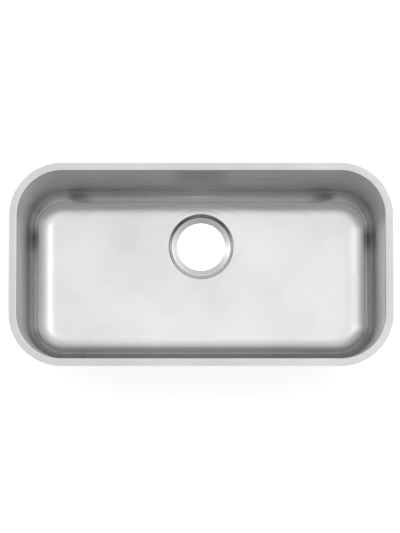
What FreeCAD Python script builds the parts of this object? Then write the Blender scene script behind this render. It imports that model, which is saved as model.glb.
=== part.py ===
import FreeCAD, Part
import math
import os
import PartDesign
import Sketcher

# Undermount kitchen sink: one bowl pressed from stainless sheet, a sprayed sound-deadening coat
# under its floor, and rubber pads glued to the coat and to the outside of the walls. Millimetres.
# The origin is the centre of the flange's top face, which lies against the underside of the
# worktop: +Z is up, +Y is towards the wall behind the sink, and the drain is near the rear.
#
# Every surface of the pressing is the inside of the bowl moved outwards by a "skin": 0 for the side
# that the water touches, the sheet's thickness for its back, and more for what is glued on there.
SIZES = {
    # the bowl's inside, measured where the walls would meet the flange's top if the rim were sharp
    "bowl_length": 680.0,
    "bowl_width": 348.0,
    "opening_corner": 83.0,
    "wall_draft": 5.0,
    "floor_fillet": 45.0,
    # the floor falls to the rear, and the depth is taken at the drain's axis
    "bowl_depth": 204.0,
    "floor_slope": 0.8,
    # the sheet and its flange
    "sheet": 1.2,
    "flange_width": 15.0,
    "rim_bend": 2.5,
    # the drain for a basket strainer, placed from the rear wall
    "drain_setback": 116.0,
    "drain_hole": 90.0,
    "seat_width": 11.0,
    "step_width": 6.0,
    "recess_depth": 8.0,
    # the coat under the floor
    "coat": 0.8,
    "coat_margin": 4.0,
    "bare_ring": 18.0,
    # the pads
    "pad_thickness": 3.0,
    "pad_gap": 10.0,
    "side_pad_length": 160.0,
    "side_pad_width": 180.0,
    "front_pad_length": 130.0,
    "front_pad_width": 60.0,
    "wall_pad_height": 95.0,
    "wall_pad_middle": 92.0,
    "long_pad_length": 190.0,
    "long_pad_spacing": 250.0,
    "end_pad_length": 120.0,
}

# Rules that more than one piece follows, as expressions on the sheet named "sizes".
NO_SKIN = "0"
SHEET_SKIN = "sizes.sheet"
COAT_SKIN = "(sizes.sheet + sizes.coat)"
DRAIN_Y = "(sizes.bowl_width / 2 - sizes.drain_setback)"
SEAT_RADIUS = "(sizes.drain_hole / 2 + sizes.seat_width)"
MOUTH_RADIUS = f"({SEAT_RADIUS} + sizes.step_width)"
BARE_RADIUS = f"({MOUTH_RADIUS} + sizes.bare_ring)"
COVE_INSET = (
    "(sizes.bowl_depth * tan(sizes.wall_draft)"
    " + sizes.floor_fillet * tan((90 - sizes.wall_draft) / 2))"
)
FLANGE_OUTLINE = (
    "sizes.bowl_length + 2 * sizes.flange_width",
    "sizes.bowl_width + 2 * sizes.flange_width",
    "sizes.opening_corner + sizes.flange_width",
)

doc = FreeCAD.newDocument("sink")
sheet = doc.addObject("Spreadsheet::Sheet", "sizes")
for row, (alias, number) in enumerate(SIZES.items(), start=1):
    sheet.set(f"A{row}", str(number))
    sheet.setAlias(f"A{row}", alias)
doc.recompute()


def value_of(rule):
    """Works out an expression on the sheet as a plain number."""
    return float(sheet.evalExpression(rule.replace("sizes.", "")))


def add_body(name):
    """Adds an empty body with its own label."""
    body = doc.addObject("PartDesign::Body", name)
    body.Label = name
    return body


def add_sketch(body, name, plane, **shift):
    """Adds a sketch on one of the body's origin planes, moved by expressions along x, y or z."""
    sketch = body.newObject("Sketcher::SketchObject", name)
    origin_plane = next(item for item in body.Origin.OriginFeatures if item.Role == plane)
    sketch.AttachmentSupport = (origin_plane, "")
    sketch.MapMode = "FlatFace"
    for axis, rule in shift.items():
        sketch.setExpression(f"AttachmentOffset.Base.{axis}", rule)
    return sketch


def fix(sketch, kind, *where):
    """Adds a constraint that has no size."""
    sketch.addConstraint(Sketcher.Constraint(kind, *where))


def size(sketch, kind, *where):
    """Adds a constraint whose size is the expression that comes last."""
    *where, rule = where
    number = sketch.addConstraint(Sketcher.Constraint(kind, *where, value_of(rule)))
    sketch.setExpression(f"Constraints[{number}]", rule)


def rounded_rectangle(sketch, length, width, corner, across="0", up="0"):
    """Draws a rounded rectangle from expressions for its size, corner radius and centre."""
    radius = value_of(corner)
    reach_x = value_of(length) / 2 - radius
    reach_y = value_of(width) / 2 - radius
    middle = FreeCAD.Vector(value_of(across), value_of(up), 0)
    centres = [
        middle + FreeCAD.Vector(x * reach_x, y * reach_y, 0)
        for x, y in ((1, -1), (1, 1), (-1, 1), (-1, -1))
    ]
    arcs = []
    for turn, centre in enumerate(centres):
        circle = Part.Circle(centre, FreeCAD.Vector(0, 0, 1), radius)
        start = math.radians(90 * turn - 90)
        arcs.append(sketch.addGeometry(Part.ArcOfCircle(circle, start, start + math.pi / 2)))
    lines = []
    for arc in arcs:
        start = sketch.getPoint(arc, 2)
        end = sketch.getPoint(arcs[(arc - arcs[0] + 1) % 4], 1)
        lines.append(sketch.addGeometry(Part.LineSegment(start, end)))
    for step in range(4):
        after = arcs[(step + 1) % 4]
        fix(sketch, "Tangent", arcs[step], 2, lines[step], 1)
        fix(sketch, "Tangent", lines[step], 2, after, 1)
        fix(sketch, "Vertical" if step % 2 == 0 else "Horizontal", lines[step])
    for arc in arcs[1:]:
        fix(sketch, "Equal", arcs[0], arc)
    size(sketch, "Radius", arcs[0], corner)
    size(sketch, "DistanceX", lines[2], 1, lines[0], 1, length)
    size(sketch, "DistanceY", lines[3], 1, lines[1], 1, width)
    centre_point = sketch.addGeometry(Part.Point(middle))
    sketch.setConstruction(centre_point, True)
    fix(sketch, "Symmetric", arcs[0], 3, arcs[2], 3, centre_point, 1)
    size(sketch, "DistanceX", -1, 1, centre_point, 1, across)
    size(sketch, "DistanceY", -1, 1, centre_point, 1, up)


def section(sketch, corners):
    """Draws a closed outline from its corners, each an expression for x, one for y and, if it is
    round, one for its radius."""
    points = [FreeCAD.Vector(value_of(x), value_of(y), 0) for x, y, *_ in corners]
    radii = [value_of(rest[0]) if rest else 0 for _, _, *rest in corners]
    count = len(corners)
    leave = []
    reach = []
    for here in range(count):
        back = (points[here - 1] - points[here]).normalize()
        ahead = (points[(here + 1) % count] - points[here]).normalize()
        tangent = radii[here] / math.tan(back.getAngle(ahead) / 2)
        reach.append(points[here] + back * tangent)
        leave.append(points[here] + ahead * tangent)
    lines = [
        sketch.addGeometry(Part.LineSegment(leave[here], reach[(here + 1) % count]))
        for here in range(count)
    ]
    for here, (x, y, *radius) in enumerate(corners):
        before = lines[here - 1]
        after = lines[here]
        if not radius:
            fix(sketch, "Coincident", before, 2, after, 1)
            size(sketch, "DistanceX", -1, 1, after, 1, x)
            size(sketch, "DistanceY", -1, 1, after, 1, y)
            continue
        inward = (reach[here] - points[here]) + (leave[here] - points[here])
        half = math.hypot(radii[here], (reach[here] - points[here]).Length)
        centre = points[here] + inward.normalize() * half
        middle = centre + (points[here] - centre).normalize() * radii[here]
        bend = Part.Arc(reach[here], middle, leave[here])
        arc = sketch.addGeometry(bend)
        first, last = (1, 2) if sketch.getPoint(arc, 1).isEqual(reach[here], 1e-6) else (2, 1)
        fix(sketch, "Tangent", before, 2, arc, first)
        fix(sketch, "Tangent", arc, last, after, 1)
        size(sketch, "Radius", arc, radius[0])
        sharp = sketch.addGeometry(Part.Point(points[here]))
        sketch.setConstruction(sharp, True)
        fix(sketch, "PointOnObject", sharp, 1, before)
        fix(sketch, "PointOnObject", sharp, 1, after)
        size(sketch, "DistanceX", -1, 1, sharp, 1, x)
        size(sketch, "DistanceY", -1, 1, sharp, 1, y)


def is_wall(face):
    """Says whether a face stands nearly upright."""
    first, last, low, high = face.ParameterRange
    return abs(face.normalAt((first + last) / 2, (low + high) / 2).z) < 0.5


def edges_between_floor_and_walls(shape):
    """Names the edges where the lowest faces of a drawn form meet its walls."""
    names = []
    for number, edge in enumerate(shape.Edges, start=1):
        faces = shape.ancestorsOfType(edge, Part.Face)
        kinds = {is_wall(face) for face in faces}
        if kinds == {True, False} and edge.BoundBox.ZMax < -value_of("sizes.bowl_depth") / 2:
            names.append(f"Edge{number}")
    return names


def edges_of_hole(shape, height):
    """Names the edges of the holes in the level faces at a height."""
    found = []
    for face in shape.Faces:
        box = face.BoundBox
        if max(abs(box.ZMin - height), abs(box.ZMax - height)) < 1e-6:
            holes = [wire for wire in face.Wires if not wire.isSame(face.OuterWire)]
            found += [edge for wire in holes for edge in wire.Edges]
    return [
        f"Edge{number}"
        for number, edge in enumerate(shape.Edges, start=1)
        if any(edge.isSame(other) for other in found)
    ]


def round_edges(body, name, names, radius):
    """Rounds some edges of the body's last feature by an expression."""
    base = body.Tip
    fillet = body.newObject("PartDesign::Fillet", name)
    fillet.Base = (base, names)
    fillet.setExpression("Radius", radius)
    doc.recompute()


def draw_bowl(body, skin):
    """Builds the drawn bowl as a solid form grown outwards by a skin: drafted walls with round
    corners, a floor that falls to the rear, and the cove between them."""
    name = body.Name
    growth = f"{skin} / cos(sizes.wall_draft)"
    outline = add_sketch(body, f"{name}_outline", "XY_Plane")
    rounded_rectangle(
        outline,
        f"sizes.bowl_length + 2 * {growth}",
        f"sizes.bowl_width + 2 * {growth}",
        f"sizes.opening_corner + {growth}",
    )
    block = body.newObject("PartDesign::Pad", f"{name}_block")
    block.Profile = outline
    block.Reversed = True
    block.setExpression("Length", "sizes.bowl_depth + sizes.floor_fillet")
    block.setExpression("TaperAngle", "-sizes.wall_draft")
    doc.recompute()

    # what lies under the floor's slope is cut away
    under = add_sketch(body, f"{name}_under", "YZ_Plane")
    front = "-sizes.bowl_width"
    rear = "sizes.bowl_width"
    bottom = "-sizes.bowl_depth - 2 * sizes.floor_fillet"
    slope = [
        (place, f"({DRAIN_Y} - {place}) * tan(sizes.floor_slope) - sizes.bowl_depth"
         f" - {skin} / cos(sizes.floor_slope)")
        for place in (rear, front)
    ]
    section(under, [(front, bottom), (rear, bottom), *slope])
    floor = body.newObject("PartDesign::Pocket", f"{name}_floor")
    floor.Profile = under
    floor.Type = "ThroughAll"
    floor.Midplane = True
    doc.recompute()
    edges = edges_between_floor_and_walls(floor.Shape)
    round_edges(body, f"{name}_cove", edges, f"sizes.floor_fillet + {skin}")


def press_recess(body, skin):
    """Adds the drain's recess below the floor, grown by a skin: a conical step down to a flat seat,
    square to the falling floor. The step is carried up past the floor, into the bowl."""
    name = body.Name
    cone = add_sketch(body, f"{name}_step", "YZ_Plane")
    cone.setExpression(
        "AttachmentOffset",
        f"placement(vector({DRAIN_Y}; -sizes.bowl_depth; 0);"
        " rotation(vector(0; 0; 1); -sizes.floor_slope))",
    )
    spread = "sizes.step_width / sizes.recess_depth"
    growth = f"{skin} * sqrt(1 + ({spread}) ^ 2)"
    raised = "sizes.recess_depth"
    seat = f"-sizes.recess_depth - {skin}"
    section(
        cone,
        [
            ("0", seat),
            (f"{SEAT_RADIUS} - {skin} * {spread} + {growth}", seat),
            (f"{MOUTH_RADIUS} + {raised} * {spread} + {growth}", raised),
            ("0", raised),
        ],
    )
    step = body.newObject("PartDesign::Revolution", f"{name}_recess")
    step.Profile = cone
    step.ReferenceAxis = (cone, ["V_Axis"])
    step.Angle = 360
    doc.recompute()


def add_flange(body, skin):
    """Adds the flange's plate above a skin, and the bend where the walls turn out into it."""
    name = body.Name
    around = add_sketch(body, f"{name}_around", "XY_Plane", z=f"-{skin}")
    rounded_rectangle(around, *FLANGE_OUTLINE)
    plate = body.newObject("PartDesign::Pad", f"{name}_plate")
    plate.Profile = around
    plate.setExpression("Length", "sizes.sheet")
    doc.recompute()
    edges = edges_of_hole(plate.Shape, -value_of(skin))
    round_edges(body, f"{name}_rim", edges, f"sizes.rim_bend + sizes.sheet - {skin}")


def press(name, skin):
    """Makes one side of the pressing as a solid form in a body of its own."""
    body = add_body(name)
    draw_bowl(body, skin)
    press_recess(body, skin)
    add_flange(body, skin)
    return body


def add_hole(body, name, radius):
    """Punches a round hole through everything at the body's origin, and returns its sketch."""
    sketch = add_sketch(body, f"{name}_circle", "XY_Plane")
    circle = Part.Circle(FreeCAD.Vector(0, 0, 0), FreeCAD.Vector(0, 0, 1), value_of(radius))
    edge = sketch.addGeometry(circle)
    fix(sketch, "Coincident", edge, 3, -1, 1)
    size(sketch, "Radius", edge, radius)
    hole = body.newObject("PartDesign::Pocket", name)
    hole.Profile = sketch
    hole.Type = "ThroughAll"
    hole.Midplane = True
    return sketch


def make_bowl():
    """The pressing is its back, less its water side, with the hole for the strainer punched in the
    recess."""
    cavity = press("cavity", NO_SKIN)
    body = press("bowl", SHEET_SKIN)
    hollow = body.newObject("PartDesign::Boolean", "hollow")
    hollow.Type = "Cut"
    hollow.setObjects([cavity])
    doc.recompute()
    circle = add_hole(body, "drain_punch", "sizes.drain_hole / 2")
    circle.setExpression("AttachmentOffset", on_floor("0", "0", NO_SKIN))
    doc.recompute()
    return body


def on_floor(across, ahead, skin):
    """Gives the placement of a piece under the floor: its own +Z is down and square to the floor.
    across is measured to the right and ahead to the front, both from the drain's axis."""
    y = f"{DRAIN_Y} - {ahead} * cos(sizes.floor_slope) - {skin} * sin(sizes.floor_slope)"
    z = f"{ahead} * sin(sizes.floor_slope) - sizes.bowl_depth - {skin} * cos(sizes.floor_slope)"
    return (
        f"placement(vector({across}; {y}; {z});"
        " rotation(vector(1; 0; 0); 180 - sizes.floor_slope))"
    )


def on_wall(turn, along, half):
    """Gives the placement of a piece on the back of a wall: its own +Z points out of the wall, square
    to its draft. turn is 0 for the front wall, 90 right, 180 rear and 270 left; along is measured
    to the right as seen from outside, and half is the wall's distance from the bowl's middle."""
    out = (
        f"{half} - sizes.wall_pad_middle * tan(sizes.wall_draft)"
        f" + {SHEET_SKIN} * cos(sizes.wall_draft)"
    )
    down = f"sizes.wall_pad_middle + {SHEET_SKIN} * sin(sizes.wall_draft)"
    facing = f"rotation(vector(0; 0; 1); {turn})"
    lean = "rotation(vector(1; 0; 0); 90 + sizes.wall_draft)"
    return f"placement({facing} * vector({along}; -({out}); -({down})); {facing} * {lean})"


def make_floor_coat():
    """The sprayed coat: it covers the flat of the floor's back and leaves a bare ring round the
    drain, for the strainer's nut."""
    body = add_body("floor_coat")
    outline = add_sketch(body, "coat_outline", "XY_Plane")
    inset = f"({COVE_INSET} + sizes.coat_margin)"
    rounded_rectangle(
        outline,
        f"sizes.bowl_length - 2 * {inset}",
        f"sizes.bowl_width - 2 * {inset}",
        f"sizes.opening_corner - {inset}",
        "0",
        DRAIN_Y,
    )
    layer = body.newObject("PartDesign::Pad", "coat_layer")
    layer.Profile = outline
    layer.setExpression("Length", "sizes.coat")
    doc.recompute()
    add_hole(body, "coat_ring", BARE_RADIUS)
    body.setExpression("Placement", on_floor("0", "0", SHEET_SKIN))
    doc.recompute()
    return body


def make_pad(name, length, width, place):
    """A flat rubber pad, glued to the face that its placement says."""
    body = add_body(name)
    outline = add_sketch(body, f"{name}_outline", "XY_Plane")
    left, right = f"-{length} / 2", f"{length} / 2"
    low, high = f"-{width} / 2", f"{width} / 2"
    section(outline, [(left, low), (right, low), (right, high), (left, high)])
    rubber = body.newObject("PartDesign::Pad", f"{name}_rubber")
    rubber.Profile = outline
    rubber.setExpression("Length", "sizes.pad_thickness")
    body.setExpression("Placement", place)
    doc.recompute()
    return body


def make_floor_pads():
    """Two pads beside the drain and one in front of it, all clear of the bare ring."""
    beside = f"({BARE_RADIUS} + sizes.pad_gap + sizes.side_pad_length / 2)"
    before = f"({BARE_RADIUS} + sizes.pad_gap + sizes.front_pad_width / 2)"
    side = ("sizes.side_pad_length", "sizes.side_pad_width")
    front = ("sizes.front_pad_length", "sizes.front_pad_width")
    return [
        make_pad("floor_pad_left", *side, on_floor(f"-{beside}", DRAIN_Y, COAT_SKIN)),
        make_pad("floor_pad_right", *side, on_floor(beside, DRAIN_Y, COAT_SKIN)),
        make_pad("floor_pad_front", *front, on_floor("0", before, COAT_SKIN)),
    ]


def make_wall_pads():
    """Two pads on each long wall and one on each short wall."""
    long_pad = ("sizes.long_pad_length", "sizes.wall_pad_height")
    end_pad = ("sizes.end_pad_length", "sizes.wall_pad_height")
    pads = []
    for wall, turn, sides in (("front", 0, ("left", "right")), ("rear", 180, ("right", "left"))):
        for side, sign in zip(sides, (-1, 1)):
            place = on_wall(turn, f"{sign} * sizes.long_pad_spacing / 2", "sizes.bowl_width / 2")
            pads.append(make_pad(f"{wall}_wall_pad_{side}", *long_pad, place))
    for side, turn in (("right", 90), ("left", 270)):
        place = on_wall(turn, "0", "sizes.bowl_length / 2")
        pads.append(make_pad(f"{side}_wall_pad", *end_pad, place))
    return pads


pieces = [make_bowl(), make_floor_coat(), *make_floor_pads(), *make_wall_pads()]

faults = [item.Label for item in doc.Objects if {"Invalid", "Error"} & set(item.State)]
if faults:
    raise RuntimeError(f"failed objects: {faults}")
for piece in pieces:
    if piece.Shape.isNull() or not piece.Shape.isValid() or len(piece.Shape.Solids) != 1:
        raise RuntimeError(f"{piece.Label} is not one valid solid")
os.makedirs("parts", exist_ok=True)
for piece in pieces:
    piece.Shape.exportStep(f"parts/{piece.Label}.step")
    print(f"{piece.Label}: {piece.Shape.Volume:.1f} mm3")
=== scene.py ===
"""An undermount kitchen sink, dressed for a studio picture taken from nearly straight above.

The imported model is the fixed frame, in metres: the origin is the centre of the flange's top face,
+Z is up, +Y is to the rear, where the drain is, and +X is to the right. The pressed bowl, the
sprayed coat and the rubber pads are built here at their real sizes and stand for the frame's nodes.
"""

import logging
import math
from dataclasses import dataclass, field, fields
from enum import Enum
from types import SimpleNamespace

import bmesh
import bpy
from mathutils import Matrix, Vector


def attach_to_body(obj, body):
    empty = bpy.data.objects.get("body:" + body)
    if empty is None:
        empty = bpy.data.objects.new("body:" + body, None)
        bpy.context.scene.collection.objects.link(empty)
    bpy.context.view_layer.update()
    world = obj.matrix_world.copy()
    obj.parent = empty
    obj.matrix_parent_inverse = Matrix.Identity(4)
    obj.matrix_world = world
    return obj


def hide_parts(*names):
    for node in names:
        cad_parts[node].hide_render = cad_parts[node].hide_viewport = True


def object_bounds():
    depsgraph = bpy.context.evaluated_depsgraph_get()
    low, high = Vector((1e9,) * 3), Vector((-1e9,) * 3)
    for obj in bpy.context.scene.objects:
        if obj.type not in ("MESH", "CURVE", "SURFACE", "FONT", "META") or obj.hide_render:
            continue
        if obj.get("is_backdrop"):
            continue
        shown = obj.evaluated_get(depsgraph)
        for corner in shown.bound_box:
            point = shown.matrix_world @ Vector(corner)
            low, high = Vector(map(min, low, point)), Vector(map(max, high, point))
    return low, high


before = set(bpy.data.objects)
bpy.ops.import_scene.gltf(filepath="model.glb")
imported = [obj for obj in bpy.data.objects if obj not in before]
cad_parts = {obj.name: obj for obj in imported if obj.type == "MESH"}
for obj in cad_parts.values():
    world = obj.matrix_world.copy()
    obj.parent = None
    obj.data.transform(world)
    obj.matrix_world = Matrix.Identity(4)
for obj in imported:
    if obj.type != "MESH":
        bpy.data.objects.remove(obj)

LOG = logging.getLogger("sink")
MM = 0.001
QUARTER = math.pi / 2
WELD = 0.001 * MM
SHARP_ANGLE = math.radians(40)


# --- node trees ----------------------------------------------------------------------------------


class Graph:
    """A node tree in the making, with short ways to add nodes and to join them."""

    def __init__(self, tree: bpy.types.NodeTree) -> None:
        """Starts on a geometry or shader tree, which the nodes go into."""
        self.tree = tree

    def add(self, kind: str, inputs: dict | None = None, **settings: object) -> bpy.types.Node:
        """Adds a node.

        Args:
            kind: The node's type.
            inputs: What its sockets get, by name or number: a field, a socket or a plain value.
            **settings: The node's own properties, which are set first.

        Returns:
            The new node.
        """
        node = self.tree.nodes.new(kind)
        for name, value in settings.items():
            setattr(node, name, value)
        for name, value in (inputs or {}).items():
            self.feed(node.inputs[name], value)
        return node

    def feed(self, socket: bpy.types.NodeSocket, value: object) -> None:
        """Joins a field or a socket to an input, or sets the input's own value.

        Args:
            socket: The input.
            value: The field, the output socket or the plain value.
        """
        source = value.socket if isinstance(value, Field) else value
        if isinstance(source, bpy.types.NodeSocket):
            self.tree.links.new(source, socket)
        else:
            socket.default_value = source

    def field(self, socket: bpy.types.NodeSocket) -> "Field":
        """Wraps an output socket, so that it can be calculated with."""
        return Field(self, socket)

    def math(self, operation: str, *values: object) -> "Field":
        """The result of a Math node, whose inputs get the values in their order."""
        node = self.add("ShaderNodeMath", dict(enumerate(values)), operation=operation)
        return self.field(node.outputs[0])

    def ramp(self, value: object, low: object, high: object, smooth: bool = True) -> "Field":
        """Rises from 0 to 1 while a value goes from low to high.

        Args:
            value: The value that is followed.
            low: Where the result is 0.
            high: Where the result is 1; it may lie below low.
            smooth: Whether the rise eases in and out.

        Returns:
            The result.
        """
        kind = "SMOOTHSTEP" if smooth else "LINEAR"
        sockets = {"Value": value, "From Min": low, "From Max": high}
        node = self.add("ShaderNodeMapRange", sockets, interpolation_type=kind)
        return self.field(node.outputs["Result"])

    def vector(self, x: object, y: object, z: object = 0.0) -> "Field":
        """Joins two or three values into a vector."""
        node = self.add("ShaderNodeCombineXYZ", {"X": x, "Y": y, "Z": z})
        return self.field(node.outputs[0])

    def parts(self, vector: object) -> list["Field"]:
        """The x, y and z of a vector."""
        node = self.add("ShaderNodeSeparateXYZ", {0: vector})
        return [self.field(output) for output in node.outputs]

    def length(self, *sides: object) -> "Field":
        """Measures the diagonal of two or three values."""
        node = self.add("ShaderNodeVectorMath", {0: self.vector(*sides)}, operation="LENGTH")
        return self.field(node.outputs["Value"])

    def unit(self, vector: object) -> "Field":
        """Gives a vector the length 1."""
        node = self.add("ShaderNodeVectorMath", {0: vector}, operation="NORMALIZE")
        return self.field(node.outputs["Vector"])

    def between(self, share: object, first: object, second: object) -> "Field":
        """The vector that lies a share of the way from the first to the second."""
        node = self.add("ShaderNodeMix", {0: share, 4: first, 5: second}, data_type="VECTOR")
        return self.field(node.outputs[1])

    def noise(self, vector: object, scale: object, detail: float, seed: object) -> "Field":
        """Adds soft noise between 0 and 1.

        Args:
            vector: Where it is read.
            scale: Its waves in a metre.
            detail: Its octaves past the first.
            seed: Which pattern it is.

        Returns:
            The noise.
        """
        sockets = {"Vector": vector, "W": seed, "Scale": scale, "Detail": detail}
        node = self.add("ShaderNodeTexNoise", sockets, noise_dimensions="4D")
        return self.field(node.outputs[0])


@dataclass(frozen=True)
class Field:
    """A value that a node tree works out, which can be calculated with like a number."""

    graph: Graph
    socket: bpy.types.NodeSocket

    def __add__(self, other: object) -> "Field":
        """Adds a field or a number."""
        return self.graph.math("ADD", self, other)

    def __radd__(self, other: object) -> "Field":
        """Adds this field to a number."""
        return self.graph.math("ADD", other, self)

    def __sub__(self, other: object) -> "Field":
        """Subtracts a field or a number."""
        return self.graph.math("SUBTRACT", self, other)

    def __rsub__(self, other: object) -> "Field":
        """Subtracts this field from a number."""
        return self.graph.math("SUBTRACT", other, self)

    def __mul__(self, other: object) -> "Field":
        """Multiplies by a field or a number."""
        return self.graph.math("MULTIPLY", self, other)

    def __truediv__(self, other: object) -> "Field":
        """Divides by a field or a number."""
        return self.graph.math("DIVIDE", self, other)

    def __pow__(self, other: object) -> "Field":
        """Raises to a power."""
        return self.graph.math("POWER", self, other)

    def __neg__(self) -> "Field":
        """Turns the sign round."""
        return self * -1.0

    def __abs__(self) -> "Field":
        """Drops the sign."""
        return self.graph.math("ABSOLUTE", self)

    def sin(self) -> "Field":
        """The sine of an angle."""
        return self.graph.math("SINE", self)

    def cos(self) -> "Field":
        """The cosine of an angle."""
        return self.graph.math("COSINE", self)

    def tan(self) -> "Field":
        """The tangent of an angle."""
        return self.graph.math("TANGENT", self)

    def root(self) -> "Field":
        """The square root."""
        return self.graph.math("SQRT", self)

    def least(self, other: object) -> "Field":
        """The lower of two values."""
        return self.graph.math("MINIMUM", self, other)

    def most(self, other: object) -> "Field":
        """The higher of two values."""
        return self.graph.math("MAXIMUM", self, other)

    def clamp(self) -> "Field":
        """Keeps the value between 0 and 1."""
        return self.most(0.0).least(1.0)

    def above(self, other: object) -> "Field":
        """1 where the value is higher than another, and 0 elsewhere."""
        return self.graph.math("GREATER_THAN", self, other)


class Shape(Graph):
    """A Geometry Nodes tree with named inputs for its sizes."""

    def __init__(self, name: str, values: dict[str, float | int]) -> None:
        """Starts a tree with its inputs and its output.

        Args:
            name: The tree's name.
            values: The sizes and the counts that it takes, by name.
        """
        super().__init__(bpy.data.node_groups.new(name, "GeometryNodeTree"))
        face = self.tree.interface
        face.new_socket("Geometry", in_out="OUTPUT", socket_type="NodeSocketGeometry")
        self.values = values
        self.identifiers = {}
        titles = {key: key.replace("_", " ").capitalize() for key in values}
        for key, value in values.items():
            kind = "NodeSocketInt" if isinstance(value, int) else "NodeSocketFloat"
            socket = face.new_socket(titles[key], in_out="INPUT", socket_type=kind)
            self.identifiers[key] = socket.identifier
        given = self.add("NodeGroupInput")
        self.sizes = SimpleNamespace(
            **{key: self.field(given.outputs[titles[key]]) for key in values}
        )

    def sheet(self, columns: Field, rows: Field) -> tuple[bpy.types.NodeSocket, Field, Field]:
        """Lays out a grid whose points are then moved to their places.

        Args:
            columns: The count of faces one way.
            rows: The count of faces the other way.

        Returns:
            The grid, the share of the columns that lies before a point, and the number of its row.
        """
        counts = {"Vertices X": columns + 1.0, "Vertices Y": rows + 1.0}
        grid = self.add("GeometryNodeMeshGrid", {"Size X": 1.0, "Size Y": 1.0, **counts})
        across, along, _ = self.parts(self.add("GeometryNodeInputPosition").outputs[0])
        return grid.outputs["Mesh"], across + 0.5, (along + 0.5) * rows

    def store(
        self,
        geometry: bpy.types.NodeSocket,
        name: str,
        value: Field,
        kind: str = "FLOAT",
        domain: str = "POINT",
    ) -> bpy.types.NodeSocket:
        """Stores a named attribute.

        Args:
            geometry: The geometry.
            name: The attribute's name.
            value: The field that is stored.
            kind: Its data type.
            domain: Where it is stored.

        Returns:
            The geometry with the attribute.
        """
        sockets = {"Geometry": geometry, "Name": name, "Value": value}
        node = self.add(
            "GeometryNodeStoreNamedAttribute", sockets, data_type=kind, domain=domain
        )
        return node.outputs[0]

    def finish(
        self, geometry: bpy.types.NodeSocket, position: Field, material: bpy.types.Material
    ) -> None:
        """Moves the grid's points, closes its seams and poles, and ends the tree.

        Args:
            geometry: The grid.
            position: Where each point goes.
            material: The finish that every face gets.
        """
        moved = self.add("GeometryNodeSetPosition", {"Geometry": geometry, "Position": position})
        closed = self.add(
            "GeometryNodeMergeByDistance", {0: moved.outputs[0], "Distance": WELD}
        )
        smooth = self.add("GeometryNodeSetShadeSmooth", {0: closed.outputs[0]})
        real = self.add("GeometryNodeRealizeInstances", {0: smooth.outputs[0]})
        dressed = self.add("GeometryNodeSetMaterial", {0: real.outputs[0], "Material": material})
        end = self.add("NodeGroupOutput")
        self.tree.links.new(dressed.outputs[0], end.inputs[0])

    def make(
        self, name: str, materials: list[bpy.types.Material], *finishing: dict, **changed: float
    ) -> bpy.types.Object:
        """Runs the tree and turns what it gives into a plain mesh.

        Args:
            name: The new object's name.
            materials: The finishes, of which every face gets the first.
            *finishing: Modifiers that follow the tree, each a dict with its type and settings.
            **changed: Sizes that differ from the tree's own, by name.

        Returns:
            The object, at the origin and without modifiers.
        """
        seed = bpy.data.objects.new(f"{name}_seed", bpy.data.meshes.new(f"{name}_seed"))
        bpy.context.scene.collection.objects.link(seed)
        modifier = seed.modifiers.new("shape", "NODES")
        modifier.node_group = self.tree
        for key, value in {**self.values, **changed}.items():
            modifier[self.identifiers[key]] = value
        for settings in finishing:
            extra = seed.modifiers.new(settings["type"].lower(), settings["type"])
            for key, value in settings.items():
                if key != "type":
                    setattr(extra, key, value)
        shown = seed.evaluated_get(bpy.context.evaluated_depsgraph_get())
        mesh = bpy.data.meshes.new_from_object(shown)
        bpy.data.objects.remove(seed)
        mesh.name = name
        for face in mesh.polygons:
            face.material_index = 0
        mesh.materials.clear()
        for material in materials:
            mesh.materials.append(material)
        made = bpy.data.objects.new(name, mesh)
        bpy.context.scene.collection.objects.link(made)
        return made


def close_up(piece: bpy.types.Object) -> None:
    """Drops the edges that no face uses, and makes the faces point outwards."""
    solid = bmesh.new()
    solid.from_mesh(piece.data)
    loose = [edge for edge in solid.edges if not edge.link_faces]
    bmesh.ops.delete(solid, geom=loose, context="EDGES")
    single = [point for point in solid.verts if not point.link_edges]
    bmesh.ops.delete(solid, geom=single, context="VERTS")
    bmesh.ops.recalc_face_normals(solid, faces=solid.faces)
    solid.to_mesh(piece.data)
    solid.free()


class ShaderGroup(Graph):
    """A shader node group with named inputs and outputs."""

    def __init__(self, name: str, inputs: dict[str, object], outputs: tuple[str, ...]) -> None:
        """Starts a group.

        Args:
            name: The group's name.
            inputs: Each input's title and its value: a number, or a tuple for a vector.
            outputs: The outputs' titles, which are all values.
        """
        super().__init__(bpy.data.node_groups.new(name, "ShaderNodeTree"))
        face = self.tree.interface
        for title, value in inputs.items():
            kind = "NodeSocketVector" if isinstance(value, tuple) else "NodeSocketFloat"
            socket = face.new_socket(title, in_out="INPUT", socket_type=kind)
            socket.default_value = value
        for title in outputs:
            face.new_socket(title, in_out="OUTPUT", socket_type="NodeSocketFloat")
        self.start = self.add("NodeGroupInput")
        self.end = self.add("NodeGroupOutput")

    def taken(self, title: str) -> Field:
        """One of the group's inputs."""
        return self.field(self.start.outputs[title])

    def give(self, title: str, value: Field) -> None:
        """Puts a value out."""
        self.feed(self.end.inputs[title], value)


# --- finishes ------------------------------------------------------------------------------------

BROAD_SHARE = 0.6
THIN_ALONG = 2.3
THIN_ACROSS = 4.1


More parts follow.
